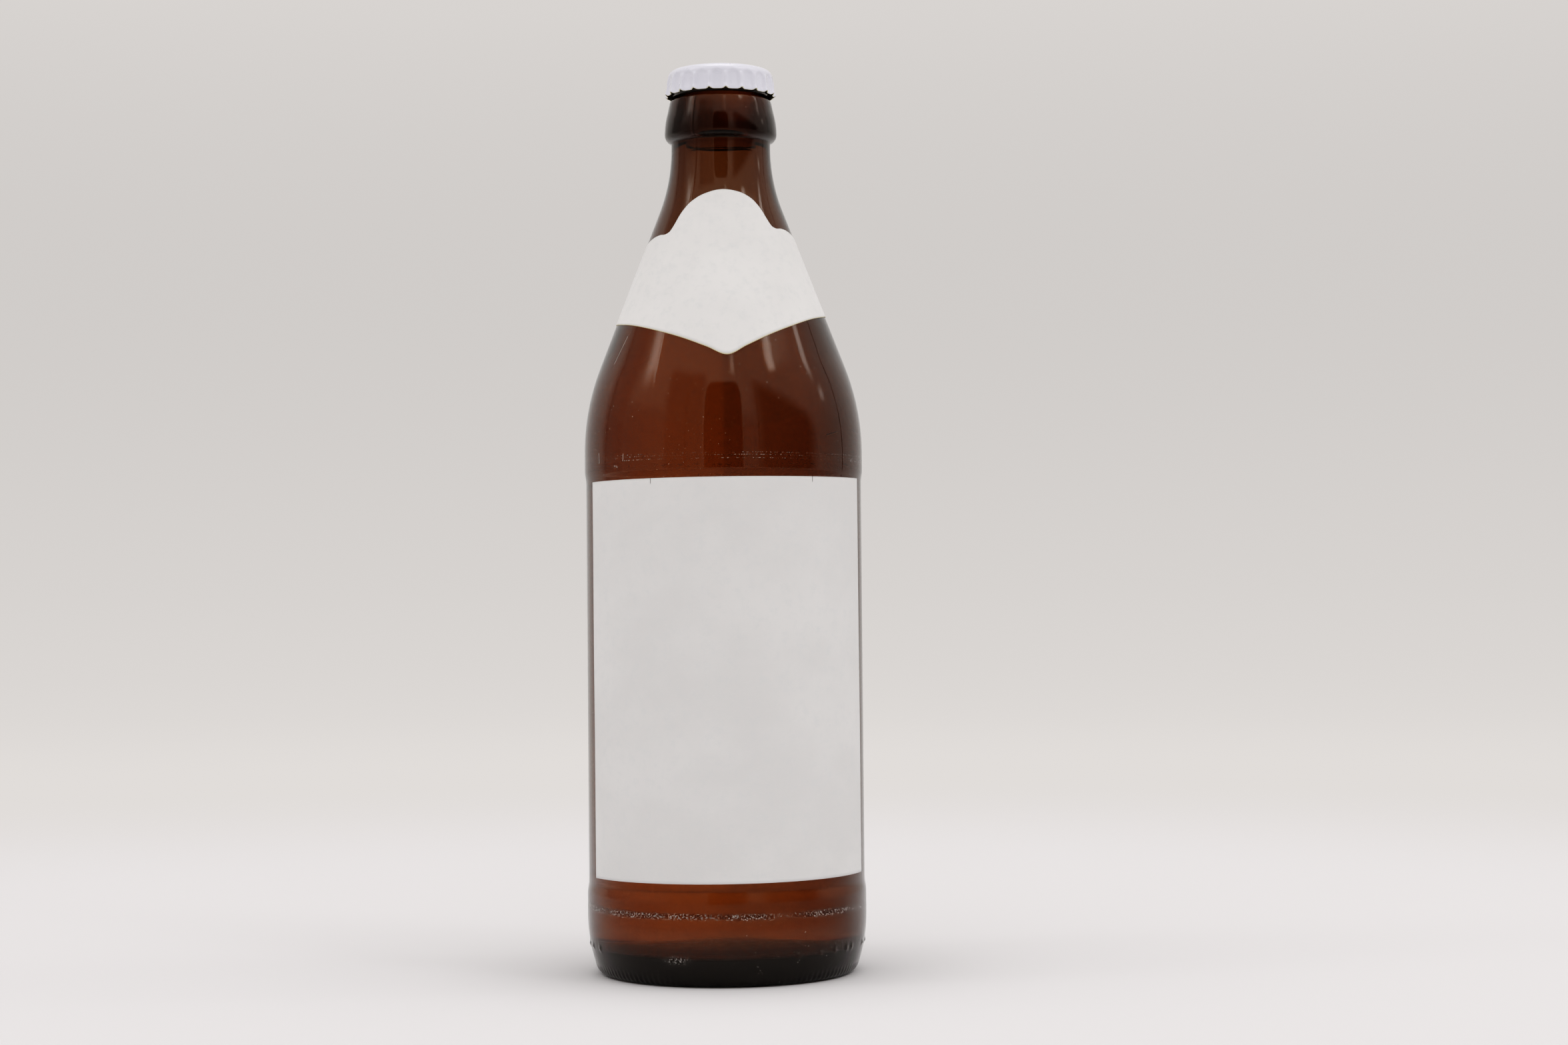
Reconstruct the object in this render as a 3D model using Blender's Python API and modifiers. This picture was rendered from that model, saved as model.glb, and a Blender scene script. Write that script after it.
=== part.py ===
"""Half-litre returnable beer bottle: turned amber glass, crimped crown cap, two paper labels and its beer.

Metres, +Z up. The origin is on the bottle's axis, in the plane that it stands on. The labels face -Y.
Azimuths are in degrees, counted from -Y towards +X.
"""

import math

import bmesh
import bpy
import numpy as np

MM = 0.001
CLEARANCE = 0.3 * MM

# Overall
HEIGHT = 230.0 * MM
BODY_RADIUS = 35.4 * MM
SEGMENTS = 60

# Glass wall
WALL = 3.3 * MM
NECK_WALL = 3.5 * MM
BORE_RADIUS = 8.3 * MM
BORE_DEPTH = 15.0 * MM

# Shoulder, cone and neck: two round sweeps joined by a straight cone
CONE_ANGLE = 21.2
SHOULDER_HEIGHT = 131.7 * MM
SHOULDER_SWEEP = 60.0 * MM
NECK_RADIUS = 12.66 * MM
NECK_SWEEP = 45.0 * MM

# Label panel, set back between the two rings where bottles rub together
PANEL_RADIUS = 35.05 * MM
PANEL_TOP = 124.2 * MM
PANEL_BOTTOM = 23.7 * MM
PANEL_STEP_TOP = 2.8 * MM
PANEL_STEP_BOTTOM = 3.3 * MM

# Heel and base
HEEL_HEIGHT = 15.0 * MM
HEEL_SWEEP = 40.0 * MM
HEEL_ANGLE = 19.0
FOOT_RADIUS = 3.0 * MM
FOOT_WIDTH = 2.0 * MM
PUSH_UP = 4.5 * MM
FLOOR_HEIGHT = 10.0 * MM
FLOOR_CORNER = 5.5 * MM
FLOOR_CORNER_TOP = 11.8 * MM
FLOOR_CORNER_ANGLE = 75.0

# Finish: the ring that the cap grips, the groove under it, and the bulge below
LOCKING_RADIUS = 12.9 * MM
LOCKING_BOTTOM = 224.2 * MM
GROOVE_RADIUS = 12.1 * MM
GROOVE_HEIGHT = 223.3 * MM
COLLAR_ROUND = 2.0 * MM
COLLAR_RADIUS = 13.09 * MM
COLLAR_HEIGHT = 221.07 * MM
COLLAR_SLOPE = 62.0
LIP_INNER_ROUND = 1.0 * MM
BULGE_RADIUS = 14.35 * MM
BULGE_HEIGHT = 213.5 * MM
BULGE_SWEEP = 20.0 * MM
BULGE_SLOPE = 15.4
BULGE_FOOT = 2.25 * MM

# Crown cap
FLUTES = 21
FLUTE_COLUMNS = 4
FLUTE_AZIMUTH = 5.6
CAP_SHEET = 0.25 * MM
CAP_CORNER = 2.1 * MM
CAP_FLAT_RADIUS = 11.4 * MM
CAP_SKIRT = 4.65 * MM
CAP_RIM_FLARE = 0.20 * MM
FLUTE_RISE = 0.30 * MM
FLUTE_FLARE = 0.37 * MM
FLUTE_LIFT = 0.50 * MM

# Paper
PAPER = 0.12 * MM
PAPER_GAP = 0.15 * MM
FRONT_LABEL_WIDTH = 86.8 * MM
FRONT_LABEL_HEIGHT = 98.9 * MM
FRONT_LABEL_AZIMUTH = 2.2
FRONT_LABEL_MIDDLE = 75.0 * MM
FRONT_LABEL_TILT = 0.35
NECK_LABEL_WRAP = 125.0
NECK_LABEL_TILT = 0.9 * MM

# The neck label's outline on one side of its middle: azimuth in degrees, height in millimetres
NECK_LABEL_TOP = (
    (0, 197.5), (13, 197.0), (24, 195.9), (33, 194.0), (38.5, 191.7), (41.7, 189.5), (44.5, 187.9),
    (48, 187.3), (56, 187.3), (65, 187.0), (74, 186.3), (92, 184.4), (125, 182.6),
)
NECK_LABEL_BOTTOM = (
    (0, 154.5), (9.5, 156.7), (20.5, 159.1), (37, 161.8), (52, 163.6), (74, 165.0), (125, 166.0),
)
NECK_LABEL_TIP_AZIMUTH = 2.2

# Beer, filled to half a litre
BEER_LEVEL = 173.0 * MM


def arc(centre, radius, start, end, steps):
    """Points of a circle in the profile plane, as (radius, height), from one angle in degrees to another."""
    angles = np.radians(np.linspace(start, end, steps + 1))
    return [(centre[0] + radius * math.cos(a), centre[1] + radius * math.sin(a)) for a in angles]


def ease(start, end, steps):
    """An S-shaped step from one (radius, height) to another, upright at both ends."""
    points = []
    for t in np.linspace(0.0, 1.0, steps + 1):
        blend = t * t * (3.0 - 2.0 * t)
        radius = start[0] + (end[0] - start[0]) * blend
        points.append((radius, start[1] + (end[1] - start[1]) * t))
    return points


def neck_and_shoulder(inset, neck_inset, neck_steps, shoulder_steps):
    """From the straight neck down to the top of the body, moved inwards by a wall thickness.

    The height of the neck's sweep follows from the cone, which has to be tangent to both sweeps.
    """
    angle = math.radians(CONE_ANGLE)
    body = BODY_RADIUS - inset
    neck = NECK_RADIUS - neck_inset
    neck_sweep = NECK_SWEEP + neck_inset
    shoulder_sweep = SHOULDER_SWEEP - inset
    cone_foot_radius = body - shoulder_sweep * (1 - math.cos(angle))
    cone_top_radius = neck + neck_sweep * (1 - math.cos(angle))
    cone_height = (cone_foot_radius - cone_top_radius) / math.tan(angle)
    waist = SHOULDER_HEIGHT + (shoulder_sweep + neck_sweep) * math.sin(angle) + cone_height
    upper = arc((neck + neck_sweep, waist), neck_sweep, 180, 180 + CONE_ANGLE, neck_steps)
    lower = arc((body - shoulder_sweep, SHOULDER_HEIGHT), shoulder_sweep, CONE_ANGLE, 0, shoulder_steps)
    return upper + lower


def cavity_profile(clearance):
    """The inside of the bottle from its straight bore down to the middle of the floor, less a clearance."""
    body = BODY_RADIUS - WALL - clearance
    corner = FLOOR_CORNER - clearance
    profile = neck_and_shoulder(WALL + clearance, NECK_WALL + clearance, 3, 4)
    profile += arc((body - corner, FLOOR_CORNER_TOP), corner, 0, -FLOOR_CORNER_ANGLE, 4)
    edge_radius, edge_height = profile[-1]
    middle = FLOOR_HEIGHT + clearance
    for t in (0.35, 0.7, 1.0):
        rise = (middle - edge_height) * math.sin(t * math.pi / 2)
        profile.append((edge_radius * (1 - t), edge_height + rise))
    return profile


def outside_profile():
    """The outside of the glass from the top of its lip down to the ring that it stands on."""
    cap_centre = (CAP_FLAT_RADIUS, HEIGHT - CAP_CORNER)
    profile = arc(cap_centre, CAP_CORNER - CAP_SHEET - CLEARANCE, 90, 0, 2)
    profile += [(LOCKING_RADIUS, LOCKING_BOTTOM), (GROOVE_RADIUS, GROOVE_HEIGHT)]
    collar_centre = (COLLAR_RADIUS - COLLAR_ROUND, COLLAR_HEIGHT)
    profile += arc(collar_centre, COLLAR_ROUND, COLLAR_SLOPE, BULGE_SLOPE, 3)
    profile += arc((BULGE_RADIUS - BULGE_SWEEP, BULGE_HEIGHT), BULGE_SWEEP, BULGE_SLOPE, 0, 3)
    foot_centre = (BULGE_RADIUS - BULGE_FOOT, BULGE_HEIGHT)
    undercut = math.degrees(math.acos((NECK_RADIUS - foot_centre[0]) / BULGE_FOOT))
    profile += arc(foot_centre, BULGE_FOOT, 0, -undercut, 4)[1:]
    profile += neck_and_shoulder(0.0, 0.0, 5, 6)
    panel_top = (PANEL_RADIUS, PANEL_TOP)
    panel_bottom = (PANEL_RADIUS, PANEL_BOTTOM)
    profile += ease((BODY_RADIUS, PANEL_TOP + PANEL_STEP_TOP), panel_top, 3)
    profile += ease(panel_bottom, (BODY_RADIUS, PANEL_BOTTOM - PANEL_STEP_BOTTOM), 3)
    profile += arc((BODY_RADIUS - HEEL_SWEEP, HEEL_HEIGHT), HEEL_SWEEP, 0, -HEEL_ANGLE, 4)
    ring_edge = profile[-1][0] - FOOT_RADIUS * math.cos(math.radians(HEEL_ANGLE))
    profile += arc((ring_edge, FOOT_RADIUS), FOOT_RADIUS, -HEEL_ANGLE, -90, 4)[1:]
    return profile


def underside_profile(ring_radius):
    """From the inner edge of the standing ring up to the top of the dome under the base."""
    profile = []
    for t in (0.0, 0.1, 0.4, 1.0):
        profile.append((ring_radius * (1 - t), PUSH_UP * math.sin(t * math.pi / 2) ** 0.7))
    return profile


def outside_radius(height):
    """The glass's outer radius at a height."""
    profile = np.array(outside_profile())[::-1]
    return float(np.interp(height, profile[:, 1], profile[:, 0]))


def smooth_edge(points, azimuth):
    """A smooth curve through a label outline's points, read at an azimuth on either side of its middle."""
    x, y = (np.array(values, dtype=float) for values in zip(*points))
    slopes = np.gradient(y, x)
    slopes[0] = 0.0
    place = min(abs(azimuth), x[-1])
    i = min(int(np.searchsorted(x, place, side="right")) - 1, len(x) - 2)
    span = x[i + 1] - x[i]
    t = (place - x[i]) / span
    first = (2 * t**3 - 3 * t**2 + 1) * y[i] + (t**3 - 2 * t**2 + t) * span * slopes[i]
    second = (3 * t**2 - 2 * t**3) * y[i + 1] + (t**3 - t**2) * span * slopes[i + 1]
    return (first + second) * MM


def at(azimuth, radius, height):
    """A point by its azimuth in degrees, radius and height."""
    angle = math.radians(azimuth)
    return (radius * math.sin(angle), -radius * math.cos(angle), height)


def material(name, colour, roughness, metallic=0.0, transmission=0.0):
    made = bpy.data.materials.new(name)
    made.use_nodes = True
    shader = made.node_tree.nodes["Principled BSDF"]
    shader.inputs["Base Color"].default_value = (*colour, 1.0)
    shader.inputs["Roughness"].default_value = roughness
    shader.inputs["Metallic"].default_value = metallic
    shader.inputs["Transmission Weight"].default_value = transmission
    return made


def add_object(name, mesh, finish, collection):
    """A named object in the collection, with its material and smooth shading."""
    mesh.materials.append(finish)
    if mesh.polygons:
        mesh.shade_smooth()
        mesh.set_sharp_from_angle(angle=math.radians(35))
    made = bpy.data.objects.new(name, mesh)
    collection.objects.link(made)
    return made


def turned(name, profile, finish, collection):
    """A solid of revolution: a Screw modifier on a profile of (radius, height) with both ends on the axis."""
    mesh = bpy.data.meshes.new(name)
    points = [(radius, 0.0, height) for radius, height in profile]
    mesh.from_pydata(points, [(i, i + 1) for i in range(len(points) - 1)], [])
    made = add_object(name, mesh, finish, collection)
    screw = made.modifiers.new("Turn", "SCREW")
    screw.steps = SEGMENTS
    screw.render_steps = SEGMENTS
    screw.use_merge_vertices = True
    screw.merge_threshold = 0.00001
    return made


def thicken(made, thickness, direction):
    """Gives an open sheet its thickness, outwards for direction 1 and inwards for -1."""
    sheet = made.modifiers.new("Thickness", "SOLIDIFY")
    sheet.thickness = thickness
    sheet.offset = direction
    sheet.use_even_offset = True


def glass_bottle(collection):
    finish = material("amber_glass", (0.20, 0.065, 0.015), 0.05, transmission=1.0)
    outside = outside_profile()
    lip_edge = (BORE_RADIUS + LIP_INNER_ROUND, outside[0][1] - LIP_INNER_ROUND)
    bore = [(BORE_RADIUS, outside[0][1] - BORE_DEPTH)]
    bore += arc(lip_edge, LIP_INNER_ROUND, 180, 90, 2)
    inside = list(reversed(cavity_profile(0.0)))
    underside = underside_profile(outside[-1][0] - FOOT_WIDTH)
    return turned("glass_bottle", inside + bore + outside + underside, finish, collection)


def beer(collection):
    """Fills the cavity up to its level, which lies behind the neck label."""
    finish = material("beer", (0.55, 0.26, 0.04), 0.02, transmission=1.0)
    wall = cavity_profile(CLEARANCE)
    rising = np.array(wall)[::-1]
    edge = float(np.interp(BEER_LEVEL, rising[:, 1], rising[:, 0]))
    below = [point for point in wall if point[1] < BEER_LEVEL - 0.5 * MM]
    profile = [(0.0, BEER_LEVEL), (edge, BEER_LEVEL)] + below
    return turned("beer", profile, finish, collection)


def crown_cap(collection):
    """Pressed sheet: a flat top, a rounded corner, and a skirt whose flutes deepen towards its rim."""
    finish = material("cap_paint", (0.80, 0.80, 0.84), 0.25)
    skirt_top = HEIGHT - CAP_CORNER
    outline = [(0.0, HEIGHT)] + arc((CAP_FLAT_RADIUS, skirt_top), CAP_CORNER, 90, 0, 3)
    rows = 5
    skirt_radius = CAP_FLAT_RADIUS + CAP_CORNER
    outline += [(skirt_radius, skirt_top - CAP_SKIRT * row / rows) for row in range(1, rows + 1)]
    skin = bmesh.new()
    ring = [skin.verts.new(at(FLUTE_AZIMUTH, radius, height)) for radius, height in outline]
    edges = [skin.edges.new(pair) for pair in zip(ring, ring[1:])]
    bmesh.ops.spin(
        skin, geom=ring + edges, cent=(0, 0, 0), axis=(0, 0, 1), angle=2 * math.pi,
        steps=FLUTES * FLUTE_COLUMNS, use_merge=True,
    )
    bmesh.ops.remove_doubles(skin, verts=skin.verts, dist=0.00001)
    for point in skin.verts:
        depth = (skirt_top - point.co.z) / CAP_SKIRT
        if depth <= 0:
            continue
        turn = math.atan2(point.co.x, -point.co.y) - math.radians(FLUTE_AZIMUTH)
        ridge = (0.5 + 0.5 * math.cos(FLUTES * turn)) ** 3
        flute = FLUTE_RISE * min(depth / 0.35, 1.0) + FLUTE_FLARE * depth**5
        outwards = CAP_RIM_FLARE * depth**3 + ridge * flute
        stretch = 1 + outwards / skirt_radius
        point.co.x *= stretch
        point.co.y *= stretch
        point.co.z += FLUTE_LIFT * ridge * depth
    bmesh.ops.recalc_face_normals(skin, faces=skin.faces)
    mesh = bpy.data.meshes.new("crown_cap")
    skin.to_mesh(mesh)
    skin.free()
    made = add_object("crown_cap", mesh, finish, collection)
    thicken(made, CAP_SHEET, -1)
    return made


def paper_sheet(name, columns, rows, place, finish, collection):
    """A sheet of paper laid on the glass. place(u, v) gives a point for u and v from 0 to 1 across and up."""
    sheet = bmesh.new()
    bmesh.ops.create_grid(sheet, x_segments=columns, y_segments=rows, size=0.5)
    for point in sheet.verts:
        point.co = place(point.co.x + 0.5, point.co.y + 0.5)
    mesh = bpy.data.meshes.new(name)
    sheet.to_mesh(mesh)
    sheet.free()
    made = add_object(name, mesh, finish, collection)
    thicken(made, PAPER, 1)
    return made


def front_label(collection):
    """A plain rectangle on the panel, stuck on a third of a degree out of square."""
    radius = PANEL_RADIUS + PAPER_GAP
    tilt = math.radians(FRONT_LABEL_TILT)

    def place(u, v):
        across = (u - 0.5) * FRONT_LABEL_WIDTH
        up = (v - 0.5) * FRONT_LABEL_HEIGHT
        along = across * math.cos(tilt) - up * math.sin(tilt)
        height = FRONT_LABEL_MIDDLE + across * math.sin(tilt) + up * math.cos(tilt)
        return at(FRONT_LABEL_AZIMUTH + math.degrees(along / radius), radius, height)

    finish = material("label_paper", (0.66, 0.65, 0.63), 0.6)
    return paper_sheet("front_label", 26, 2, place, finish, collection)


def neck_label(collection):
    """A wrap-around label with a round crest above and a point below, on the cone of the shoulder."""

    def place(u, v):
        azimuth = (2 * u - 1) * NECK_LABEL_WRAP
        tilt = NECK_LABEL_TILT * math.sin(math.radians(azimuth))
        top = smooth_edge(NECK_LABEL_TOP, azimuth) + tilt
        shift = NECK_LABEL_TIP_AZIMUTH * max(0.0, 1 - abs(azimuth) / NECK_LABEL_WRAP)
        bottom = smooth_edge(NECK_LABEL_BOTTOM, azimuth - shift) + tilt
        height = bottom + (top - bottom) * v
        return at(azimuth, outside_radius(height) + PAPER_GAP, height)

    finish = material("neck_label_paper", (0.68, 0.67, 0.64), 0.6)
    return paper_sheet("neck_label", 72, 5, place, finish, collection)


def main():
    for leftover in list(bpy.data.objects):
        bpy.data.objects.remove(leftover, do_unlink=True)
    collection = bpy.data.collections.new("beer_bottle")
    bpy.context.scene.collection.children.link(collection)
    glass_bottle(collection)
    beer(collection)
    crown_cap(collection)
    front_label(collection)
    neck_label(collection)


main()
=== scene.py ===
"""Looks of the half-litre beer bottle: amber glass, its beer, crimped crown cap and two paper labels.

Metres, +Z up, labels facing -Y. Azimuths are in degrees from -Y towards +X.
"""

import math

import bpy
import numpy as np
from mathutils import Matrix, Vector


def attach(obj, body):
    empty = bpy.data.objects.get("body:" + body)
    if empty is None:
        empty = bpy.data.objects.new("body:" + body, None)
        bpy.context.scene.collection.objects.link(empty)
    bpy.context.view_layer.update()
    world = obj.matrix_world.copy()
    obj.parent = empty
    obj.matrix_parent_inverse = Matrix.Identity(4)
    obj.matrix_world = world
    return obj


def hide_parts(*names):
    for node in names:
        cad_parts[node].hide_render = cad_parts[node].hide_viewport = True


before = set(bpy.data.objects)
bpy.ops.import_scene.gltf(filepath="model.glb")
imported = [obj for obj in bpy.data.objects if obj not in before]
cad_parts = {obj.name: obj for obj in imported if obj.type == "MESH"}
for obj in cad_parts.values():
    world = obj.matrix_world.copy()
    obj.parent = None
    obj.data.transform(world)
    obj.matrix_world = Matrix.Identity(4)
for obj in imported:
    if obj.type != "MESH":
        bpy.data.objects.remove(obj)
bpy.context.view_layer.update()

MM = 0.001

# Camera, as the photograph was taken
PHOTO_WIDTH = 2352
FOCAL_PIXELS = 4192
SENSOR_WIDTH = 36.0
CAMERA_PLACE = Vector((0.0, -0.7141, 0.0947))
CAMERA_PITCH = 1.55
CAMERA_YAW = 1.23
CAMERA_ROLL = -0.53

# How the photograph deepens its dark tones, as linear light in and out
FILM_TOE = (
    (0.02, 0.006), (0.05, 0.024), (0.10, 0.072), (0.17, 0.150), (0.26, 0.255), (0.40, 0.40), (0.70, 0.70),
)

# Overall sizes of the bottle
HEIGHT = 230.0 * MM
BODY_RADIUS = 35.4 * MM
WALL = 3.3 * MM
NECK_WALL = 3.5 * MM
BORE_RADIUS = 8.3 * MM
BORE_DEPTH = 15.0 * MM

# Shoulder, cone and neck
CONE_ANGLE = 21.2
SHOULDER_HEIGHT = 131.7 * MM
SHOULDER_SWEEP = 60.0 * MM
NECK_RADIUS = 12.66 * MM
NECK_SWEEP = 45.0 * MM

# Label panel between its two rings
PANEL_RADIUS = 35.05 * MM
PANEL_TOP = 124.2 * MM
PANEL_BOTTOM = 23.7 * MM
PANEL_STEP_TOP = 2.8 * MM
PANEL_STEP_BOTTOM = 3.3 * MM

# Heel and base
HEEL_HEIGHT = 15.0 * MM
HEEL_SWEEP = 40.0 * MM
HEEL_ANGLE = 19.0
FOOT_RADIUS = 3.0 * MM
FOOT_WIDTH = 2.0 * MM
PUSH_UP = 4.5 * MM
FLOOR_HEIGHT = 10.0 * MM
FLOOR_CORNER = 5.5 * MM
FLOOR_CORNER_TOP = 11.8 * MM
FLOOR_CORNER_ANGLE = 75.0

# Finish of the bottle
LOCKING_RADIUS = 12.9 * MM
LOCKING_BOTTOM = 224.2 * MM
GROOVE_RADIUS = 12.1 * MM
GROOVE_HEIGHT = 223.3 * MM
COLLAR_ROUND = 2.0 * MM
COLLAR_RADIUS = 13.09 * MM
COLLAR_HEIGHT = 221.07 * MM
COLLAR_SLOPE = 62.0
LIP_INNER_ROUND = 1.0 * MM
BULGE_RADIUS = 14.35 * MM
BULGE_HEIGHT = 213.5 * MM
BULGE_SWEEP = 20.0 * MM
BULGE_SLOPE = 15.4
BULGE_FOOT = 2.25 * MM
NECK_FILLET = 0.7 * MM
CAP_GAP = 0.3 * MM

# Low relief of the glass
KNURLS = 132
COLUMNS_PER_KNURL = 4
KNURL_DEPTH = 0.16 * MM
SEAM_AZIMUTHS = (-29.9, 150.1)
SEAM_HEIGHT = 0.06 * MM
SEAM_WIDTH = 0.30 * MM
PARTING_HEIGHT = 208.2 * MM
PARTING_RELIEF = 0.010 * MM
PARTING_WIDTH = 0.16 * MM
DOT_AZIMUTHS = (29.6, 41.0, 49.6, 58.2, 62.5, 76.5, 85.9)
BACK_DOT_AZIMUTHS = (-84.0, -75.0, -66.0, 98.0, 107.0, 116.0)
DOT_HEIGHT = 7.9 * MM
DOT_RADIUS = 0.62 * MM
DOT_RELIEF = 0.30 * MM
WALL_WAVE = 0.16 * MM
SKIN_WAVE = 0.015 * MM

# Crown cap
FLUTES = 21
COLUMNS_PER_FLUTE = 24
FLUTE_AZIMUTH = 5.6
CAP_SHEET = 0.25 * MM
CAP_CORNER = 2.1 * MM
CAP_FLAT_RADIUS = 11.4 * MM
CAP_SKIRT = 4.65 * MM
CAP_RIM_FLARE = 0.20 * MM
FLUTE_RISE = 0.30 * MM
FLUTE_FLARE = 0.37 * MM
FLUTE_LIFT = 0.50 * MM
FLUTE_DISH = 0.26 * MM
FLUTE_FULL_DEPTH = 0.35
DISH_END_DEPTH = 0.85

# Paper
PAPER = 0.12 * MM
GLUE = 0.02 * MM
FRONT_TONES = (230, 236)
NECK_TONES = (236, 241)
FRONT_LABEL_WIDTH = 86.8 * MM
FRONT_LABEL_HEIGHT = 98.9 * MM
FRONT_LABEL_AZIMUTH = 2.2
FRONT_LABEL_MIDDLE = 75.0 * MM
FRONT_LABEL_TILT = 0.35
NECK_LABEL_WRAP = 125.0
NECK_LABEL_TILT = 0.9 * MM
NECK_LABEL_TIP_AZIMUTH = 2.2

# The neck label's outline on one side of its middle: azimuth in degrees, height in millimetres
NECK_LABEL_TOP = (
    (0, 197.5), (13, 197.0), (24, 195.9), (33, 194.0), (38.5, 191.7), (41.7, 189.5), (44.5, 187.9),
    (48, 187.3), (56, 187.3), (65, 187.0), (74, 186.3), (92, 184.4), (125, 182.6),
)
NECK_LABEL_BOTTOM = (
    (0, 154.5), (9.5, 156.7), (20.5, 159.1), (37, 161.8), (52, 163.6), (74, 165.0), (125, 166.0),
)

# Beer
BEER_LEVEL = 173.0 * MM
BEER_INTO_WALL = 0.05 * MM
MENISCUS = 0.9 * MM

# Wear rings where bottles rub together
UPPER_WEAR_HEIGHT = 129.6 * MM
LOWER_WEAR_HEIGHT = 17.5 * MM

# Haze of the glass where it is handled and rubbed, as added roughness
FINISH_HAZE = 0.08
RING_HAZE = 0.10

# Thin scuffed lines: offset from the upper wear height, how fast they wander, and grain of their dashes
SCUFF_LINES = ((0.75 * MM, 16, 1500), (0.05 * MM, 22, 2100), (-0.7 * MM, 13, 1300))

# Rubbed spots as azimuth, height and reach; scratches as azimuth and height of both ends
RUBBED_SPOTS = (
    (-21.0, 6.8 * MM, 4.6 * MM), (-49.0, 127.5 * MM, 1.8 * MM), (64.0, 129.0 * MM, 1.5 * MM),
    (131.0, 11.0 * MM, 2.2 * MM), (203.0, 8.0 * MM, 1.8 * MM), (-118.0, 128.0 * MM, 2.0 * MM),
)
SCRATCHES = (
    (-55.8, 160.5 * MM, -60.0, 153.6 * MM), (-61.0, 128.8 * MM, -61.3, 131.2 * MM),
    (-44.5, 128.9 * MM, -44.3, 130.6 * MM), (148.0, 140.0 * MM, 157.0, 136.5 * MM),
    (214.0, 60.0 * MM, 216.0, 71.0 * MM), (103.0, 98.0 * MM, 99.5, 104.0 * MM),
)
SCRATCH_WIDTH = 0.09 * MM

# Studio: a round white sweep, brighter at its foot, and lamps outside every view
SWEEP_FLOOR_RADIUS = 0.9
SWEEP_CORNER = 0.6
SWEEP_TOP = 2.0
SWEEP_TINT = (1.0, 0.958, 0.928)
SWEEP_TONES = (
    (0.0, 0.76), (0.02, 0.72), (0.05, 0.70), (0.10, 0.68), (0.20, 0.65), (0.30, 0.63),
    (0.42, 0.635), (0.56, 0.68), (1.0, 0.75), (2.0, 0.80),
)
FLOOR_COLOUR = (0.852, 0.849, 0.867, 1.0)
LAMP_COLOUR = (1.0, 0.99, 0.985)
FLOOR_FADE_START = 0.30
FLOOR_FADE_END = 0.75
SKY_STRENGTH = 0.75
STUDIO_RADIUS = 0.95
AIM_HEIGHT = 0.14

# The tent as it reflects in the glass, and the floor part of both screens: its hole and its height
TENT_RADIUS = 1.0
TENT_TOP = 1.2
SCREEN_HOLE = 0.045
SCREEN_LIFT = 0.4 * MM

# Shade of the floor in front: radius where it starts and where it is full, and share of light taken away
FLOOR_SHADE = (0.06, 0.19, 0.55)
FLOOR_SHADE_HALF_ANGLE = 95.0
FLOOR_SHADE_SOFT = 30.0

# The camera's opening, then shades and seams as middle azimuth, half width and softness in degrees,
# share of light taken away, height of their top at the middle, softness of the top, and how much the
# top rises with each degree
OPENING_HALF_ANGLE = 15.8
OPENING_TOP = 0.83
SHADES = (
    (54.0, 25.0, 7.0, 0.85, 0.60, 0.09, -0.0085), (-62.0, 30.0, 8.0, 0.30, 0.50, 0.08, 0.0),
    (-33.0, 17.0, 4.0, 0.55, 0.92, 0.08, 0.0), (-102.0, 14.0, 6.0, 0.40, 1.0, 0.10, 0.0),
    (22.0, 8.0, 2.0, 0.35, 0.45, 0.10, 0.0),
    (-31.0, 0.35, 0.15, 0.9, 0.8, 0.1, 0.0), (29.0, 0.35, 0.15, 0.9, 0.8, 0.1, 0.0),
    (-112.0, 0.35, 0.15, 0.9, 0.8, 0.1, 0.0), (114.0, 0.35, 0.15, 0.9, 0.8, 0.1, 0.0),
)

# Light seen through the bottle, by azimuth: middle, half width and softness in degrees, and strength
BACK_RADIUS = 0.25
BACK_TOP = 0.215
BACK_DIM = (-138.0, 22.0, 8.0, 0.45)
BACK_GLOW = (163.0, 16.0, 12.0, 0.42)
FLOOR_GLOW = 0.35
NEAR_FLOOR_GLOW = (0.06, 0.17, 0.45)


# Points and profiles

def arc(centre, radius, start, end, steps):
    """Points of a circle in the profile plane, as (radius, height), between two angles in degrees."""
    angles = np.radians(np.linspace(start, end, steps + 1))
    return [(centre[0] + radius * math.cos(a), centre[1] + radius * math.sin(a)) for a in angles]


def ease(start, end, steps):
    """An S-shaped step from one (radius, height) to another, upright at both ends."""
    points = []
    for t in np.linspace(0.0, 1.0, steps + 1):
        blend = t * t * (3.0 - 2.0 * t)
        radius = start[0] + (end[0] - start[0]) * blend
        points.append((radius, start[1] + (end[1] - start[1]) * t))
    return points


def run(start, end, steps):
    """Points of a straight line in the profile plane, without its two ends."""
    shares = np.linspace(0.0, 1.0, steps + 1)[1:-1]
    return [tuple(np.add(start, np.multiply(np.subtract(end, start), t))) for t in shares]


def neck_and_shoulder(inset, neck_inset, neck_steps, cone_steps, shoulder_steps):
    """From the straight neck down to the top of the body, moved inwards by a wall thickness."""
    angle = math.radians(CONE_ANGLE)
    body = BODY_RADIUS - inset
    neck = NECK_RADIUS - neck_inset
    neck_sweep = NECK_SWEEP + neck_inset
    shoulder_sweep = SHOULDER_SWEEP - inset
    cone_foot_radius = body - shoulder_sweep * (1 - math.cos(angle))
    cone_top_radius = neck + neck_sweep * (1 - math.cos(angle))
    cone_height = (cone_foot_radius - cone_top_radius) / math.tan(angle)
    waist = SHOULDER_HEIGHT + (shoulder_sweep + neck_sweep) * math.sin(angle) + cone_height
    upper = arc((neck + neck_sweep, waist), neck_sweep, 180, 180 + CONE_ANGLE, neck_steps)
    lower = arc((body - shoulder_sweep, SHOULDER_HEIGHT), shoulder_sweep, CONE_ANGLE, 0, shoulder_steps)
    return upper + run(upper[-1], lower[0], cone_steps) + lower


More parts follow.
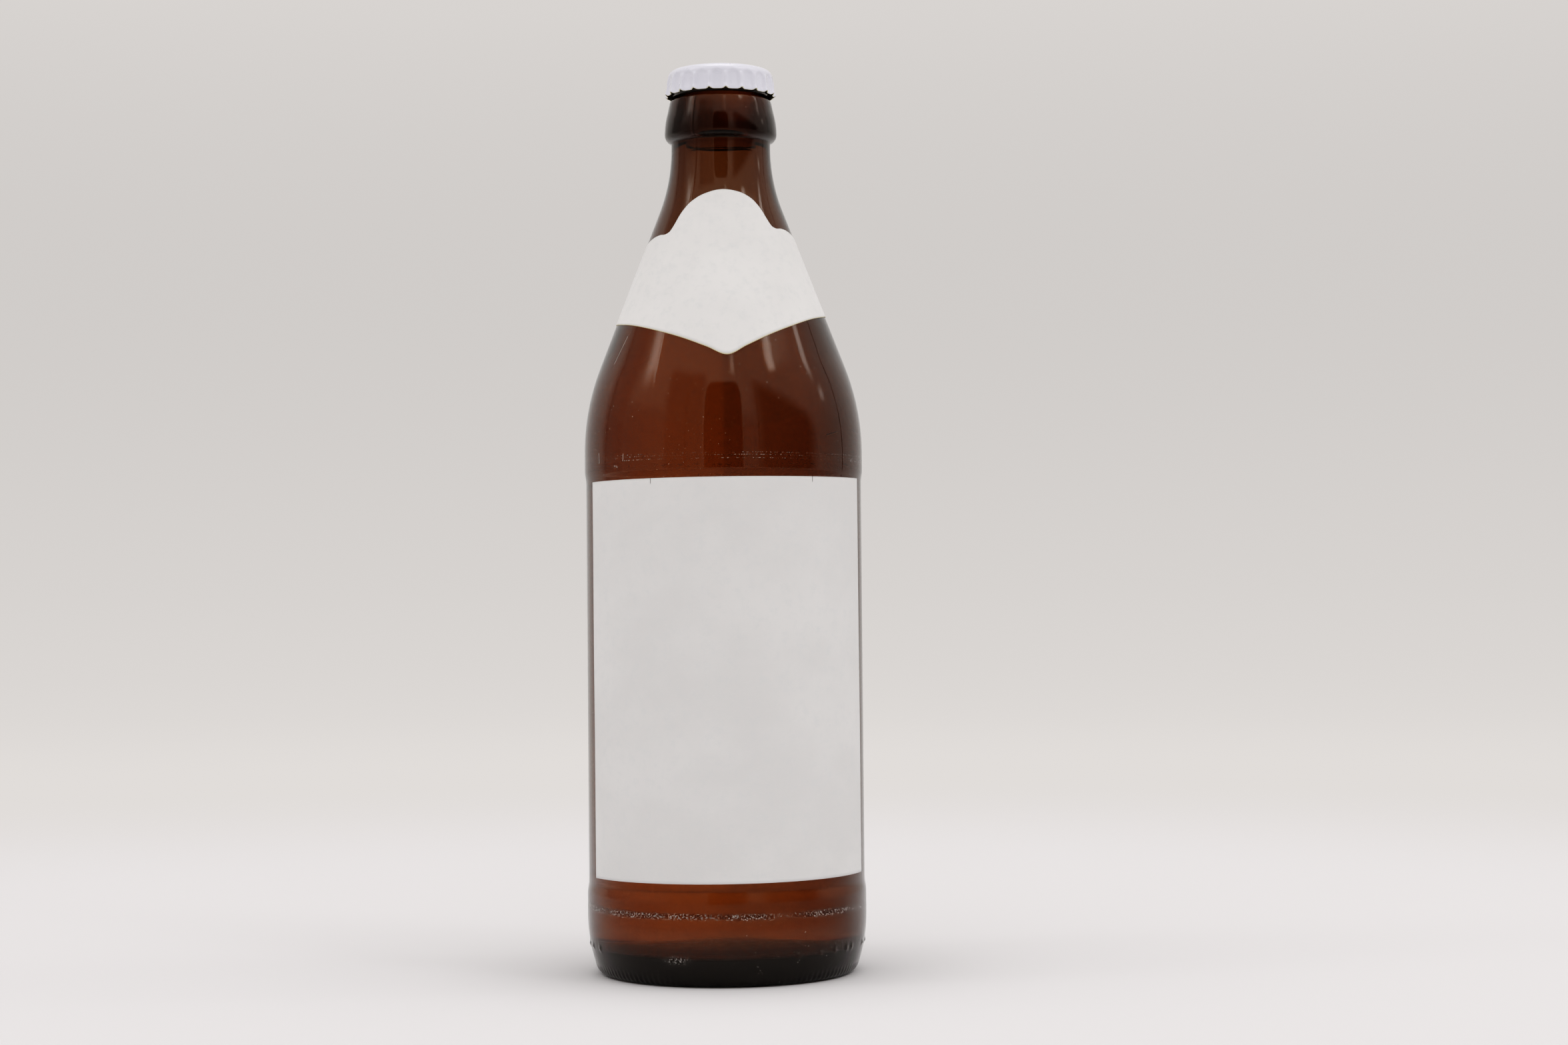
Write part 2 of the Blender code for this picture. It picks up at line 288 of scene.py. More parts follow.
def cavity_profile(outwards):
    """The inside of the bottle from its straight bore down to the middle of the floor."""
    body = BODY_RADIUS - WALL + outwards
    corner = FLOOR_CORNER + outwards
    profile = neck_and_shoulder(WALL - outwards, NECK_WALL - outwards, 7, 4, 8)
    lowest = arc((body - corner, FLOOR_CORNER_TOP), corner, 0, -FLOOR_CORNER_ANGLE, 6)
    profile += run(profile[-1], lowest[0], 11) + lowest
    edge_radius, edge_height = profile[-1]
    middle = FLOOR_HEIGHT - outwards
    for t in np.linspace(0.0, 1.0, 7)[1:]:
        rise = (middle - edge_height) * math.sin(t * math.pi / 2)
        profile.append((edge_radius * (1 - t), edge_height + rise))
    return profile


def parted_neck(neck):
    """The neck with close rows on its own curve where the mould's upper and lower halves part."""
    shares = (2, 1, 0.6, 0.3, 0, -0.3, -0.6, -1, -2)
    rows = [PARTING_HEIGHT + share * PARTING_WIDTH for share in shares]
    curve = []
    for height in rows:
        fall = neck[0][1] - height
        curve.append((NECK_RADIUS + NECK_SWEEP - math.sqrt(NECK_SWEEP**2 - fall**2), height))
    above = [point for point in neck if point[1] > rows[0]]
    return above + curve + [point for point in neck if point[1] < rows[-1]]


def outside_profile():
    """The outside of the glass from the top of its lip down to the ring that it stands on."""
    cap_centre = (CAP_FLAT_RADIUS, HEIGHT - CAP_CORNER)
    profile = arc(cap_centre, CAP_CORNER - CAP_SHEET - CAP_GAP, 90, 0, 3)
    profile += [(LOCKING_RADIUS, LOCKING_BOTTOM), (GROOVE_RADIUS, GROOVE_HEIGHT)]
    collar_centre = (COLLAR_RADIUS - COLLAR_ROUND, COLLAR_HEIGHT)
    profile += arc(collar_centre, COLLAR_ROUND, COLLAR_SLOPE, BULGE_SLOPE, 6)
    bulge = arc((BULGE_RADIUS - BULGE_SWEEP, BULGE_HEIGHT), BULGE_SWEEP, BULGE_SLOPE, 0, 6)
    foot_centre = (BULGE_RADIUS - BULGE_FOOT, BULGE_HEIGHT)
    fillet_across = NECK_RADIUS + NECK_FILLET - foot_centre[0]
    undercut = math.degrees(math.acos(fillet_across / (BULGE_FOOT + NECK_FILLET)))
    fillet_down = fillet_across * math.tan(math.radians(undercut))
    profile += run(profile[-1], bulge[0], 2) + bulge
    profile += arc(foot_centre, BULGE_FOOT, 0, -undercut, 6)[1:]
    fillet_centre = (NECK_RADIUS + NECK_FILLET, BULGE_HEIGHT - fillet_down)
    profile += arc(fillet_centre, NECK_FILLET, 180 - undercut, 180, 5)[1:]
    profile += parted_neck(neck_and_shoulder(0.0, 0.0, 10, 4, 12))
    panel_top = (PANEL_RADIUS, PANEL_TOP)
    panel_bottom = (PANEL_RADIUS, PANEL_BOTTOM)
    profile += ease((BODY_RADIUS, PANEL_TOP + PANEL_STEP_TOP), panel_top, 5)
    profile += run(panel_top, panel_bottom, 6)
    profile += ease(panel_bottom, (BODY_RADIUS, PANEL_BOTTOM - PANEL_STEP_BOTTOM), 5)
    profile += arc((BODY_RADIUS - HEEL_SWEEP, HEEL_HEIGHT), HEEL_SWEEP, 0, -HEEL_ANGLE, 26)
    ring_edge = profile[-1][0] - FOOT_RADIUS * math.cos(math.radians(HEEL_ANGLE))
    profile += arc((ring_edge, FOOT_RADIUS), FOOT_RADIUS, -HEEL_ANGLE, -90, 9)[1:]
    return profile


def underside_profile(ring_radius):
    """From the inner edge of the standing ring up to the top of the dome under the base."""
    profile = []
    for t in (0.0, 0.03, 0.1, 0.2, 0.4, 0.6, 0.8, 1.0):
        profile.append((ring_radius * (1 - t), PUSH_UP * math.sin(t * math.pi / 2) ** 0.7))
    return profile


def outside_radius(height):
    """The glass's outer radius at a height."""
    profile = np.array(outside_profile())[::-1]
    return float(np.interp(height, profile[:, 1], profile[:, 0]))


def smooth_edge(points, azimuth):
    """A smooth curve through a label outline's points, read at an azimuth on either side of its middle."""
    x, y = (np.array(values, dtype=float) for values in zip(*points))
    slopes = np.gradient(y, x)
    slopes[0] = 0.0
    place = min(abs(azimuth), x[-1])
    i = min(int(np.searchsorted(x, place, side="right")) - 1, len(x) - 2)
    span = x[i + 1] - x[i]
    t = (place - x[i]) / span
    first = (2 * t**3 - 3 * t**2 + 1) * y[i] + (t**3 - 2 * t**2 + t) * span * slopes[i]
    second = (3 * t**2 - 2 * t**3) * y[i + 1] + (t**3 - t**2) * span * slopes[i + 1]
    return (first + second) * MM


def at(azimuth, radius, height):
    """A point by its azimuth in degrees, radius and height."""
    angle = math.radians(azimuth)
    return (radius * math.sin(angle), -radius * math.cos(angle), height)


def off_azimuth(azimuths, centre):
    """How far azimuths lie from another one, in degrees, the short way round."""
    return (azimuths - centre + 180.0) % 360.0 - 180.0


def waves(azimuths, heights, size):
    """Slow, smooth unevenness of moulded glass, the same on every run."""
    turn = np.radians(azimuths)[None, :]
    rise = np.array(heights)[:, None] / MM
    total = 0.42 * np.sin(2 * turn + 0.021 * rise + 0.7)
    total += 0.30 * np.sin(3 * turn - 0.052 * rise + 2.1)
    total += 0.20 * np.sin(5 * turn + 0.085 * rise + 4.0)
    total += 0.16 * np.sin(9 * turn - 0.120 * rise + 1.3)
    total += 0.10 * np.sin(0.31 * rise + 2.0 * np.sin(4 * turn))
    return size * total


# Meshes

def lathe(name, radii, heights, azimuths):
    """A turned mesh from grids of radii and heights, a row for each profile point. Ends on the axis close."""
    rows, columns = radii.shape
    turn = np.radians(azimuths)[None, :]
    points = np.stack([radii * np.sin(turn), -radii * np.cos(turn), heights], axis=2)
    first_closes = radii[0].max() < 1e-7
    last_closes = radii[-1].max() < 1e-7
    vertices = []
    row_start = []
    for row in range(rows):
        row_start.append(len(vertices))
        on_axis = (row == 0 and first_closes) or (row == rows - 1 and last_closes)
        vertices.extend(points[row, :1] if on_axis else points[row])
    faces = []
    for row in range(rows - 1):
        above, below = row_start[row], row_start[row + 1]
        for column in range(columns):
            after = (column + 1) % columns
            if row == 0 and first_closes:
                faces.append((above, below + column, below + after))
            elif row == rows - 2 and last_closes:
                faces.append((above + column, below, above + after))
            else:
                faces.append((above + column, below + column, below + after, above + after))
    mesh = bpy.data.meshes.new(name)
    mesh.from_pydata([tuple(v) for v in vertices], [], faces)
    mesh.update()
    mesh.shade_smooth()
    return mesh


def add_piece(name, mesh, finish, node):
    """Puts a finished mesh in the scene as the piece that stands for a node."""
    mesh.materials.append(finish)
    piece = bpy.data.objects.new(name, mesh)
    bpy.context.scene.collection.objects.link(piece)
    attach(piece, "root")
    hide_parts(node)
    return piece


def bump_at(offset, width):
    """A round bump's height from 0 to 1 at a distance from its middle."""
    return np.exp(-((offset / width) ** 2))


def glass_bottle():
    outside = outside_profile()
    lip_edge = (BORE_RADIUS + LIP_INNER_ROUND, outside[0][1] - LIP_INNER_ROUND)
    inside = list(reversed(cavity_profile(0.0)))
    bore_end = (BORE_RADIUS, outside[0][1] - BORE_DEPTH)
    bore = ease(inside[-1], bore_end, 6)[1:]
    bore += run(bore_end, lip_edge, 3)
    bore += arc(lip_edge, LIP_INNER_ROUND, 180, 90, 3)
    underside = underside_profile(outside[-1][0] - FOOT_WIDTH)
    profile = np.array(inside + bore + outside + underside)
    azimuths = np.arange(KNURLS * COLUMNS_PER_KNURL) * 360.0 / (KNURLS * COLUMNS_PER_KNURL)
    radii = np.repeat(profile[:, :1], len(azimuths), axis=1)
    heights = np.repeat(profile[:, 1:], len(azimuths), axis=1)

    inner_rows = slice(1, len(inside))
    cavity = profile[inner_rows]
    fade = np.clip((profile[inner_rows, 0] - 6 * MM) / (4 * MM), 0, 1)[:, None]
    radii[inner_rows] += fade * waves(azimuths, cavity[:, 1], WALL_WAVE)

    start = len(inside) + len(bore)
    outer_rows = slice(start, start + len(outside))
    outer = profile[outer_rows]
    relief = np.zeros((len(outer), len(azimuths)))
    arc_scale = outer[:, :1] * math.radians(1.0)
    below_cap = (outer[:, 1] < LOCKING_BOTTOM)[:, None]
    above_foot = np.clip((outer[:, 1] - 1.0 * MM) / (2.0 * MM), 0, 1)[:, None]
    for seam in SEAM_AZIMUTHS:
        offset = off_azimuth(azimuths, seam)[None, :] * arc_scale
        relief += below_cap * above_foot * SEAM_HEIGHT * bump_at(offset, SEAM_WIDTH)
    relief += PARTING_RELIEF * bump_at(outer[:, 1:] - PARTING_HEIGHT, PARTING_WIDTH)
    for azimuth in DOT_AZIMUTHS + BACK_DOT_AZIMUTHS:
        along = off_azimuth(azimuths, azimuth)[None, :] * arc_scale
        up = outer[:, 1:] - DOT_HEIGHT
        relief += DOT_RELIEF * bump_at(np.hypot(along, up), DOT_RADIUS)
    relief += below_cap * above_foot * waves(azimuths * 1.0, outer[:, 1], SKIN_WAVE)
    foot = outer[:, 1:]
    knurled = np.clip((3.2 * MM - foot) / (0.8 * MM), 0, 1) * np.clip(foot / (0.25 * MM), 0, 1)
    groove = 0.5 - 0.5 * np.cos(np.radians(azimuths) * KNURLS)
    relief -= KNURL_DEPTH * knurled * groove[None, :]
    radii[outer_rows] = np.minimum(radii[outer_rows] + relief, BODY_RADIUS)

    mesh = lathe("glass_bottle_fine", radii, heights, azimuths)
    return add_piece("glass_bottle_fine", mesh, amber_glass(), "glass_bottle")


def beer():
    """Reaches just into the wall all round, so that no air shows between beer and glass."""
    wall = cavity_profile(BEER_INTO_WALL)
    rising = np.array(wall)[::-1]
    top = BEER_LEVEL + MENISCUS
    edge = float(np.interp(top, rising[:, 1], rising[:, 0]))
    surface = [(0.0, BEER_LEVEL), (edge * 0.4, BEER_LEVEL), (edge * 0.7, BEER_LEVEL)]
    for offset in (4.0 * MENISCUS, 2.5 * MENISCUS, 1.5 * MENISCUS, 0.8 * MENISCUS, 0.3 * MENISCUS, 0.0):
        surface.append((edge - offset, BEER_LEVEL + MENISCUS * math.exp(-offset / MENISCUS)))
    below = [point for point in wall if point[1] < BEER_LEVEL - 0.5 * MM]
    profile = np.array(surface + below)
    azimuths = np.arange(0.0, 360.0, 1.25)
    radii = np.repeat(profile[:, :1], len(azimuths), axis=1)
    heights = np.repeat(profile[:, 1:], len(azimuths), axis=1)
    rows = slice(len(surface) - 1, len(profile))
    fade = np.clip((profile[rows, 0] - 6 * MM) / (4 * MM), 0, 1)[:, None]
    radii[rows] += fade * waves(azimuths, profile[rows, 1], WALL_WAVE)
    mesh = lathe("beer_fill", radii, heights, azimuths)
    return add_piece("beer_fill", mesh, beer_liquid(), "beer")


def crown_cap():
    """Pressed sheet with flutes that deepen towards the rim and shallow dished panels between them."""
    skirt_top = HEIGHT - CAP_CORNER
    outline = [(CAP_FLAT_RADIUS * share, HEIGHT) for share in np.linspace(0.0, 1.0, 7)[:-1]]
    outline += arc((CAP_FLAT_RADIUS, skirt_top), CAP_CORNER, 90, 0, 12)
    rows = 20
    skirt_radius = CAP_FLAT_RADIUS + CAP_CORNER
    outline += [(skirt_radius, skirt_top - CAP_SKIRT * row / rows) for row in range(1, rows + 1)]
    profile = np.array(outline)
    columns = FLUTES * COLUMNS_PER_FLUTE
    azimuths = FLUTE_AZIMUTH + np.arange(columns) * 360.0 / columns
    radii = np.repeat(profile[:, :1], columns, axis=1)
    heights = np.repeat(profile[:, 1:], columns, axis=1)
    turn = np.radians(azimuths - FLUTE_AZIMUTH)[None, :]
    depth = np.clip((skirt_top - profile[:, 1:]) / CAP_SKIRT, 0, 1)
    ridge = (0.5 + 0.5 * np.cos(FLUTES * turn)) ** (4.5 - 1.5 * depth)
    panel = (0.5 - 0.5 * np.cos(FLUTES * turn)) ** 0.8
    dish_top = HEIGHT - 1.5 * MM + 0.9 * MM * (panel - 1.0)
    below = np.clip((dish_top - heights) / (0.9 * MM), 0, 1)
    below = below * below * (3.0 - 2.0 * below)
    rise = np.clip(depth / FLUTE_FULL_DEPTH, 0, 1)
    flute = FLUTE_RISE * rise * (2.0 - rise) + FLUTE_FLARE * depth**5
    radii += CAP_RIM_FLARE * depth**3 + ridge * flute
    radii -= FLUTE_DISH * panel * below * (1.0 - np.clip(depth / DISH_END_DEPTH, 0, 1) ** 2)
    heights += FLUTE_LIFT * ridge**1.6 * depth
    mesh = lathe("crown_cap_fine", radii, heights, azimuths)
    piece = add_piece("crown_cap_fine", mesh, cap_paint(), "crown_cap")
    mesh.materials.append(cap_inside_shaded())
    mesh.materials.append(cap_rim())
    sheet = piece.modifiers.new("Thickness", "SOLIDIFY")
    sheet.thickness = CAP_SHEET
    sheet.offset = -1
    sheet.use_even_offset = True
    sheet.material_offset = 1
    sheet.material_offset_rim = 2
    return piece


def paper_sheet(name, columns, rows, place, finishes, node):
    """Paper laid on the glass. place(u, v) gives a point across and up, and the UV map holds u and v."""
    mesh = bpy.data.meshes.new(name)
    shares = [(c / columns, r / rows) for r in range(rows + 1) for c in range(columns + 1)]
    faces = []
    for r in range(rows):
        for c in range(columns):
            corner = r * (columns + 1) + c
            faces.append((corner, corner + 1, corner + columns + 2, corner + columns + 1))
    mesh.from_pydata([place(u, v) for u, v in shares], [], faces)
    layer = mesh.uv_layers.new(name="UVMap")
    for loop in mesh.loops:
        layer.data[loop.index].uv = shares[loop.vertex_index]
    mesh.update()
    mesh.shade_smooth()
    face, edge = finishes
    piece = add_piece(name, mesh, face, node)
    mesh.materials.append(edge)
    sheet = piece.modifiers.new("Thickness", "SOLIDIFY")
    sheet.thickness = PAPER
    sheet.offset = 1
    sheet.use_even_offset = True
    sheet.material_offset_rim = 1
    return piece


def front_label():
    """A plain rectangle on the panel, stuck on a third of a degree out of square."""
    radius = PANEL_RADIUS + GLUE
    tilt = math.radians(FRONT_LABEL_TILT)

    def place(u, v):
        across = (u - 0.5) * FRONT_LABEL_WIDTH
        up = (v - 0.5) * FRONT_LABEL_HEIGHT
        along = across * math.cos(tilt) - up * math.sin(tilt)
        height = FRONT_LABEL_MIDDLE + across * math.sin(tilt) + up * math.cos(tilt)
        azimuth = FRONT_LABEL_AZIMUTH + math.degrees(along / radius)
        ripple = 0.02 * MM * (math.sin(along / (7 * MM) + 3 * v) * math.sin(height / (11 * MM) + 2 * u))
        return at(azimuth, radius + 0.02 * MM + ripple, height)

    face = label_paper("front_label_paper", FRONT_LABEL_WIDTH, FRONT_LABEL_HEIGHT, FRONT_TONES, True)
    finishes = (face, paper_edge())
    return paper_sheet("front_label_sheet", 200, 120, place, finishes, "front_label")


def neck_label():
    """A wrap-around label with a round crest above and a point below, on the cone of the shoulder."""
    reach = BODY_RADIUS * 2

    def place(u, v):
        azimuth = (2 * u - 1) * NECK_LABEL_WRAP
        tilt = NECK_LABEL_TILT * math.sin(math.radians(azimuth))
        top = smooth_edge(NECK_LABEL_TOP, azimuth) + tilt
        shift = NECK_LABEL_TIP_AZIMUTH * max(0.0, 1 - abs(azimuth) / NECK_LABEL_WRAP)
        bottom = smooth_edge(NECK_LABEL_BOTTOM, azimuth - shift) + tilt
        height = bottom + (top - bottom) * v
        ripple = 0.02 * MM * math.sin(azimuth / 6.0 + 4 * v) * math.sin(height / (8 * MM))
        return at(azimuth, outside_radius(height) + GLUE + 0.02 * MM + ripple, height)

    finishes = (label_paper("neck_label_paper", reach, 0.035, NECK_TONES, False), paper_edge())
    return paper_sheet("neck_label_sheet", 260, 40, place, finishes, "neck_label")


# Materials

class Shader:
    """A material's node tree, with one short call for each kind of node."""

    def __init__(self, name):
        self.material = bpy.data.materials.new(name)
        self.material.use_nodes = True
        self.tree = self.material.node_tree
        self.surface = self.tree.nodes["Principled BSDF"]
        self.output = self.tree.nodes["Material Output"]

    def node(self, kind, **settings):
        made = self.tree.nodes.new(kind)
        for key, value in settings.items():
            setattr(made, key, value)
        return made

    def put(self, value, socket):
        """Links a node's socket, or sets a plain value."""
        if isinstance(value, bpy.types.NodeSocket):
            self.tree.links.new(value, socket)
        else:
            socket.default_value = value

    def set(self, **values):
        for key, value in values.items():
            self.put(value, self.surface.inputs[key.replace("_", " ")])

    def place(self, scale=(1.0, 1.0, 1.0)):
        """Object coordinates in metres, scaled."""
        coordinates = self.node("ShaderNodeTexCoord")
        mapping = self.node("ShaderNodeMapping")
        self.put(coordinates.outputs["Object"], mapping.inputs["Vector"])
        mapping.inputs["Scale"].default_value = scale
        return mapping.outputs["Vector"]

    def axes(self):
        """The X, Y and Z of object coordinates."""
        split = self.node("ShaderNodeSeparateXYZ")
        self.put(self.place(), split.inputs["Vector"])
        return split.outputs

    def math(self, operation, first, second=0.0, third=0.0):
        made = self.node("ShaderNodeMath", operation=operation)
        for value, socket in zip((first, second, third), made.inputs):
            self.put(value, socket)
        return made.outputs["Value"]

    def noise(self, scale, detail=2.0, stretch=(1.0, 1.0, 1.0), roughness=0.5):
        """Noise from 0 to 1, with a scale in features per metre."""
        made = self.node("ShaderNodeTexNoise")
        self.put(self.place(stretch), made.inputs["Vector"])
        made.inputs["Scale"].default_value = scale
        made.inputs["Detail"].default_value = detail
        made.inputs["Roughness"].default_value = roughness
        return made.outputs["Fac"]

    def remap(self, value, low, high, new_low=0.0, new_high=1.0, kind="SMOOTHSTEP"):
        made = self.node("ShaderNodeMapRange", interpolation_type=kind)
        for given, socket in zip((value, low, high, new_low, new_high), made.inputs):
            self.put(given, socket)
        return made.outputs["Result"]

    def blend(self, share, first, second):
        """A mix of two colours."""
        made = self.node("ShaderNodeMix", data_type="RGBA")
        self.put(share, made.inputs["Factor"])
        for value, socket in zip((first, second), (made.inputs[6], made.inputs[7])):
            self.put(value, socket)
        return made.outputs[2]

    def band(self, value, centre, half_width, soft):
        """1 within a distance of a height, fading to 0 at its edges."""
        offset = self.math("ABSOLUTE", self.math("SUBTRACT", value, centre))
        return self.remap(offset, half_width - soft, half_width + soft, 1.0, 0.0)

    def spot(self, place, inner, outer, stretch=(1.0, 1.0, 1.0)):
        """1 near a point, fading to 0 at an outer distance."""
        away = self.node("ShaderNodeVectorMath", operation="DISTANCE")
        self.put(self.place(stretch), away.inputs[0])
        away.inputs[1].default_value = [along * share for along, share in zip(place, stretch)]
        return self.remap(away.outputs["Value"], inner, outer, 1.0, 0.0)

    def bump(self, height, distance, strength=1.0, normal=None):
        made = self.node("ShaderNodeBump")
        made.inputs["Strength"].default_value = strength
        made.inputs["Distance"].default_value = distance
        self.put(height, made.inputs["Height"])
        if normal is not None:
            self.put(normal, made.inputs["Normal"])
        return made.outputs["Normal"]

    def absorb(self, colour, density):
        """Light is taken away on its way through, so thick places are darker."""
        volume = self.node("ShaderNodeVolumeAbsorption")
        volume.inputs["Color"].default_value = (*colour, 1.0)
        volume.inputs["Density"].default_value = density
        self.put(volume.outputs["Volume"], self.output.inputs["Volume"])


def colour(red, green, blue):
    """A colour given as the 0 to 255 values of a screen."""
    shares = [v / 255 for v in (red, green, blue)]
    linear = [s / 12.92 if s <= 0.04045 else ((s + 0.055) / 1.055) ** 2.4 for s in shares]
    return (*linear, 1.0)


def scuffed_lines(shader, height):
    """Thin broken lines round the top of the body, where it rubs on the next bottle."""
    total = 0.0
    for offset, wander, grain in SCUFF_LINES:
        wobble = shader.math("MULTIPLY", shader.math("SUBTRACT", shader.noise(wander, 1.0), 0.5), 1.2 * MM)
        wandering = shader.math("ADD", height, wobble)
        line = shader.band(wandering, UPPER_WEAR_HEIGHT + offset, 0.06 * MM, 0.05 * MM)
        dashes = shader.remap(shader.noise(grain, 4.0, (1.0, 1.0, 0.15), 0.7), 0.50, 0.62)
        total = shader.math("MAXIMUM", total, shader.math("MULTIPLY", line, dashes))
    patches = shader.remap(shader.noise(38, 1.0), 0.40, 0.62, 0.15, 0.65)
    return shader.math("MULTIPLY", total, patches)


def speckled_ring(shader, height):
    """A narrow band of fine specks round the heel: how light and how dark they make the glass."""
    wobble = shader.math("MULTIPLY", shader.math("SUBTRACT", shader.noise(30, 1.0), 0.5), 0.8 * MM)
    ring = shader.band(shader.math("ADD", height, wobble), LOWER_WEAR_HEIGHT, 0.70 * MM, 0.45 * MM)
    patches = shader.remap(shader.noise(75, 2.0), 0.36, 0.58, 0.25, 1.0)
    worn = shader.math("MULTIPLY", ring, patches)
    grain = shader.noise(2500, 3.0, roughness=0.7)
    light = shader.math("MULTIPLY", shader.remap(grain, 0.53, 0.60, 0.0, 0.55), worn)
    dark = shader.math("MULTIPLY", shader.remap(grain, 0.42, 0.50, 1.0, 0.0), worn)
    return light, dark


def rubbed_spot(shader, place, reach):
    """A small patch of specks, wider than tall."""
    near = shader.spot(place, 0.1 * reach, reach, (1.0, 1.0, 2.6))
    specks = shader.remap(shader.noise(2600, 3.0, roughness=0.7), 0.53, 0.62, 0.0, 0.5)
    return shader.math("MULTIPLY", near, specks)


def scratch(shader, start, end, half_width):
    """A straight scratch between two points on the glass."""
    along = Vector(end) - Vector(start)
    step = shader.node("ShaderNodeVectorMath", operation="SUBTRACT")
    shader.put(shader.place(), step.inputs[0])
    step.inputs[1].default_value = start
    share = shader.node("ShaderNodeVectorMath", operation="DOT_PRODUCT")
    shader.put(step.outputs["Vector"], share.inputs[0])
    share.inputs[1].default_value = along / along.length_squared
    held = shader.remap(share.outputs["Value"], 0.0, 1.0, kind="LINEAR")
    foot = shader.node("ShaderNodeVectorMath", operation="SCALE")
    foot.inputs[0].default_value = along
    shader.put(held, foot.inputs["Scale"])
    away = shader.node("ShaderNodeVectorMath", operation="DISTANCE")
    shader.put(step.outputs["Vector"], away.inputs[0])
    shader.put(foot.outputs["Vector"], away.inputs[1])
    return shader.remap(away.outputs["Value"], 0.5 * half_width, 1.2 * half_width, 1.0, 0.0)


def amber_glass():
    shader = Shader("amber_glass")
    height = shader.axes()["Z"]
    pits = shader.remap(shader.noise(2300, 1.0), 0.77, 0.82)
    pits = shader.math("MULTIPLY", pits, shader.remap(shader.noise(45, 1.0), 0.42, 0.58))
    wear_and_dot_highlights = shader.math("MULTIPLY", pits, 0.6)
    light_specks, dark_specks = speckled_ring(shader, height)
    marks = [scuffed_lines(shader, height), light_specks]
    for azimuth, spot_height, reach in RUBBED_SPOTS:
        marks.append(rubbed_spot(shader, at(azimuth, outside_radius(spot_height), spot_height), reach))
    for start_azimuth, start_height, end_azimuth, end_height in SCRATCHES:
        start = at(start_azimuth, outside_radius(start_height), start_height)
        end = at(end_azimuth, outside_radius(end_height), end_height)
        marks.append(shader.math("MULTIPLY", scratch(shader, start, end, SCRATCH_WIDTH), 0.7))
    for mark in marks:
        wear_and_dot_highlights = shader.math("MAXIMUM", wear_and_dot_highlights, mark)
    finish_haze = shader.remap(height, BULGE_HEIGHT - 6 * MM, BULGE_HEIGHT, 0.0, FINISH_HAZE)
    # Each moulded dot gets painted shade in the base colour, and a painted highlight just above its middle
    painted_dot_shade = 0.0
    for azimuth in DOT_AZIMUTHS + BACK_DOT_AZIMUTHS:
        dot = at(azimuth, outside_radius(DOT_HEIGHT), DOT_HEIGHT)
        tip = at(azimuth, outside_radius(DOT_HEIGHT) + DOT_RELIEF, DOT_HEIGHT + 0.3 * DOT_RADIUS)
        painted_dot_shade = shader.math("MAXIMUM", painted_dot_shade, shader.spot(dot, 0.6 * DOT_RADIUS, 1.5 * DOT_RADIUS))
        # A small light spot just above each dot's middle: a painted highlight, added to the wear mask
        dot_highlight = shader.math("MULTIPLY", shader.spot(tip, 0.2 * DOT_RADIUS, 0.8 * DOT_RADIUS), 0.25)
        wear_and_dot_highlights = shader.math("MAXIMUM", wear_and_dot_highlights, dot_highlight)
    ring_haze = shader.math("MULTIPLY", shader.band(height, 18.0 * MM, 6.0 * MM, 2.0 * MM), RING_HAZE)
    # Base colour darkened on the moulded dots, as painted shade of their steep sides
    base_with_dot_shade = shader.blend(painted_dot_shade, (1, 1, 1, 1), (0.40, 0.34, 0.30, 1))
    base_with_dot_shade = shader.blend(dark_specks, base_with_dot_shade, (0.25, 0.22, 0.22, 1))
    handling = shader.noise(55, 4.0, (1.0, 1.0, 0.35), 0.6)
    ripple = shader.noise(120, 1.0, (1.0, 1.0, 0.5))
    smooth_glass = shader.remap(handling, 0.35, 0.75, 0.015, 0.06)
    hazed_glass = shader.math("ADD", smooth_glass, shader.math("ADD", finish_haze, ring_haze))
    # Wear frosts and lightens the glass, and the same mask also carries the painted highlights on the moulded
    # dots
    shader.set(
        Base_Color=shader.blend(wear_and_dot_highlights, base_with_dot_shade, colour(176, 168, 160)),
        Transmission_Weight=shader.remap(wear_and_dot_highlights, 0.0, 1.0, 1.0, 0.1, "LINEAR"),
        Roughness=shader.math("MAXIMUM", hazed_glass, wear_and_dot_highlights),
        IOR=1.52,
        Specular_Tint=(1.0, 0.90, 0.82, 1.0),
    )
    smooth = shader.bump(ripple, 0.03 * MM, 0.5)
    shader.put(shader.bump(wear_and_dot_highlights, 0.05 * MM, 0.6, smooth), shader.surface.inputs["Normal"])
    shader.absorb((0.517, 0.278, 0.0), 605.0)
    return shader.material


def beer_liquid():
    shader = Shader("beer_liquid")
    haze = shader.noise(35, 2.0)
    shader.set(
        Base_Color=shader.blend(haze, (1, 1, 1, 1), (0.97, 0.95, 0.90, 1)),
        Transmission_Weight=1.0,
        Roughness=shader.remap(haze, 0.2, 0.8, 0.0, 0.01),
        IOR=1.34,
    )
    shader.absorb((0.893, 0.479, 0.0), 14.0)
    return shader.material


def cap_paint():
    """White lacquer with a faint blue cast, slightly uneven and with a few handling marks."""
    shader = Shader("cap_paint")
    cloud = shader.noise(160, 3.0)
    rubbed = shader.remap(shader.noise(1500, 3.0), 0.70, 0.78, 0.0, 0.35)
    paint = shader.blend(cloud, colour(228, 229, 242), colour(234, 235, 246))
    shader.set(
        Base_Color=shader.blend(rubbed, paint, colour(214, 213, 216)),
        Roughness=shader.remap(cloud, 0.2, 0.8, 0.22, 0.34),
        IOR=1.5,
        Coat_Weight=0.5,
        Coat_Roughness=0.12,
    )
    shader.put(shader.bump(shader.noise(900, 2.0), 0.01 * MM, 0.5), shader.surface.inputs["Normal"])
    return shader.material


